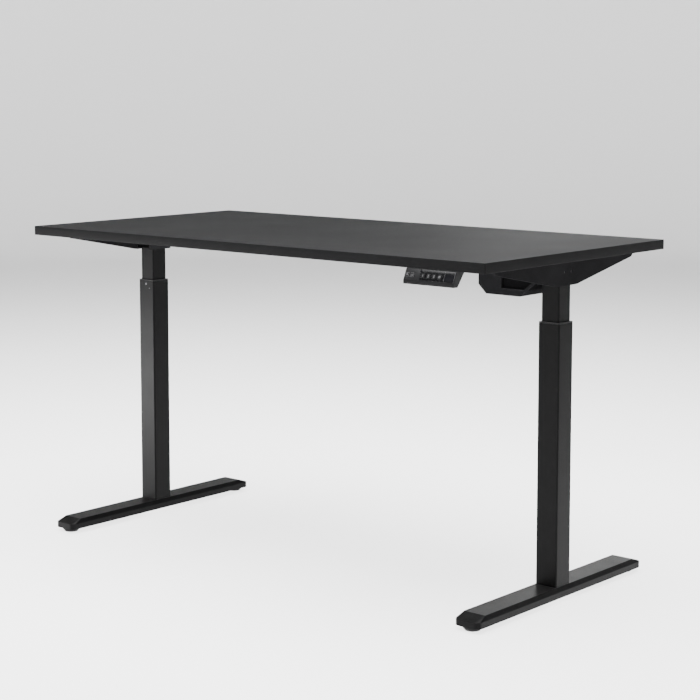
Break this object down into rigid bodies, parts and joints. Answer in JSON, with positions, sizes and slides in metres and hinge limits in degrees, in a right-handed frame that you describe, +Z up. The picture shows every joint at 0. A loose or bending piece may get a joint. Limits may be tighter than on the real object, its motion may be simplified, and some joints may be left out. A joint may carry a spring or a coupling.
{
  "type": "height adjustable standing desk",
  "caption": "Electric height adjustable desk: black rectangular worktop on telescopic column legs with T feet, side brackets, under-edge keypad, motor cover and control box.",
  "frame": {"origin": "on the floor under the middle of the worktop", "axes": "+X along the worktop to the keypad end (the user's right), +Y away from the user, +Z up"},
  "size_m": [1.4, 0.711, 0.782],
  "materials": {
    "black_laminate": "matt black laminate on particle board",
    "black_edging": "matt black edge strip",
    "black_powder_coat": "satin black powder coat, fine grain",
    "black_plastic": "matt black moulded plastic",
    "button_plastic": "dark grey moulded buttons with light icons",
    "display_window": "smooth smoked window",
    "glide_rubber": "matt black",
    "white_nylon": "natural nylon",
    "bright_steel": "turned and zinc plated steel",
    "cast_aluminium": "as cast",
    "circuit_board": "green lacquer",
    "lead_jacket": "matt black jacket"
  },
  "bodies": {
    "base": {"foot_left": "black_powder_coat", "base_plate_left": "bright_steel", "outer_tube_left": "black_powder_coat", "guide_collar_left": "black_plastic", "nut_tube_left": "bright_steel", "spindle_nut_left": "white_nylon", "foot_right": "black_powder_coat", "base_plate_right": "bright_steel", "outer_tube_right": "black_powder_coat", "guide_collar_right": "black_plastic", "nut_tube_right": "bright_steel", "spindle_nut_right": "white_nylon"},
    "lift": {"desktop": "black_laminate", "edge_band": "black_edging", "side_bracket_left": "black_powder_coat", "leg_head_left": "black_powder_coat", "gearbox_left": "cast_aluminium", "inner_tube_left": "black_powder_coat", "inner_slider_left": "white_nylon", "crossbar_front_left": "black_powder_coat", "crossbar_rear_left": "black_powder_coat", "side_bracket_right": "black_powder_coat", "leg_head_right": "black_powder_coat", "gearbox_right": "cast_aluminium", "inner_tube_right": "black_powder_coat", "inner_slider_right": "white_nylon", "crossbar_front_right": "black_powder_coat", "crossbar_rear_right": "black_powder_coat", "motor_can": "black_powder_coat", "motor_gearcase": "cast_aluminium", "motor_cover": "black_powder_coat", "control_box_case": "black_plastic", "control_box_lid": "black_plastic", "control_board": "circuit_board", "mains_inlet": "black_plastic", "keypad_case": "black_plastic", "keypad_back": "black_plastic", "keypad_board": "circuit_board", "keypad_display": "display_window", "handset_lead": "lead_jacket", "motor_lead": "lead_jacket"},
    "glide_front_left": {"levelling_glide_front_left": "glide_rubber"},
    "glide_rear_left": {"levelling_glide_rear_left": "glide_rubber"},
    "glide_front_right": {"levelling_glide_front_right": "glide_rubber"},
    "glide_rear_right": {"levelling_glide_rear_right": "glide_rubber"},
    "spindle_left": {"spindle_left": "bright_steel", "spindle_bevel_left": "bright_steel"},
    "spindle_right": {"spindle_right": "bright_steel", "spindle_bevel_right": "bright_steel"},
    "drive_shaft": {"hex_drive_shaft": "bright_steel", "shaft_bevel_left": "bright_steel", "shaft_bevel_right": "bright_steel", "drive_gear": "white_nylon"},
    "motor_rotor": {"motor_rotor": "bright_steel"},
    "button_up": {"button_up": "button_plastic"},
    "button_down": {"button_down": "button_plastic"},
    "button_memory_1": {"button_memory_1": "button_plastic"},
    "button_memory_2": {"button_memory_2": "button_plastic"},
    "button_memory_3": {"button_memory_3": "button_plastic"},
    "button_store": {"button_store": "button_plastic"}
  },
  "joints": [
    {"name": "lift_slide", "type": "slide", "parent": "base", "child": "lift", "axis": [0, 0, 1], "range_m": [-0.07, 0.38]},
    {"name": "glide_front_left_screw", "type": "slide", "parent": "base", "child": "glide_front_left", "axis": [0, 0, -1], "range_m": [0, 0.01]},
    {"name": "glide_rear_left_screw", "type": "slide", "parent": "base", "child": "glide_rear_left", "axis": [0, 0, -1], "range_m": [0, 0.01]},
    {"name": "glide_front_right_screw", "type": "slide", "parent": "base", "child": "glide_front_right", "axis": [0, 0, -1], "range_m": [0, 0.01]},
    {"name": "glide_rear_right_screw", "type": "slide", "parent": "base", "child": "glide_rear_right", "axis": [0, 0, -1], "range_m": [0, 0.01]},
    {"name": "spindle_left_turn", "type": "hinge", "parent": "lift", "child": "spindle_left", "pos_m": [-0.6375, 0, 0.731], "axis": [0, 0, 1], "continuous": true},
    {"name": "spindle_right_turn", "type": "hinge", "parent": "lift", "child": "spindle_right", "pos_m": [0.6375, 0, 0.731], "axis": [0, 0, 1], "continuous": true},
    {"name": "drive_shaft_turn", "type": "hinge", "parent": "lift", "child": "drive_shaft", "pos_m": [0, 0, 0.731], "axis": [1, 0, 0], "continuous": true},
    {"name": "motor_turn", "type": "hinge", "parent": "lift", "child": "motor_rotor", "pos_m": [0.56645, 0, 0.7025], "axis": [1, 0, 0], "continuous": true},
    {"name": "button_up_press", "type": "slide", "parent": "lift", "child": "button_up", "axis": [0, 0.9135, -0.4068], "range_m": [0, 0.001], "stiffness_N_per_m": 800, "springref_m": -0.0005},
    {"name": "button_down_press", "type": "slide", "parent": "lift", "child": "button_down", "axis": [0, 0.9135, -0.4068], "range_m": [0, 0.001], "stiffness_N_per_m": 800, "springref_m": -0.0005},
    {"name": "button_memory_1_press", "type": "slide", "parent": "lift", "child": "button_memory_1", "axis": [0, 0.9135, -0.4068], "range_m": [0, 0.001], "stiffness_N_per_m": 800, "springref_m": -0.0005},
    {"name": "button_memory_2_press", "type": "slide", "parent": "lift", "child": "button_memory_2", "axis": [0, 0.9135, -0.4068], "range_m": [0, 0.001], "stiffness_N_per_m": 800, "springref_m": -0.0005},
    {"name": "button_memory_3_press", "type": "slide", "parent": "lift", "child": "button_memory_3", "axis": [0, 0.9135, -0.4068], "range_m": [0, 0.001], "stiffness_N_per_m": 800, "springref_m": -0.0005},
    {"name": "button_store_press", "type": "slide", "parent": "lift", "child": "button_store", "axis": [0, 0.9135, -0.4068], "range_m": [0, 0.001], "stiffness_N_per_m": 800, "springref_m": -0.0005}
  ],
  "couplings": [
    {"joint": "spindle_left_turn", "follows": "lift_slide", "rad_per_m": 628.32},
    {"joint": "spindle_right_turn", "follows": "lift_slide", "rad_per_m": 628.32},
    {"joint": "drive_shaft_turn", "follows": "lift_slide", "rad_per_m": -628.32},
    {"joint": "motor_turn", "follows": "lift_slide", "rad_per_m": 1256.6}
  ]
}
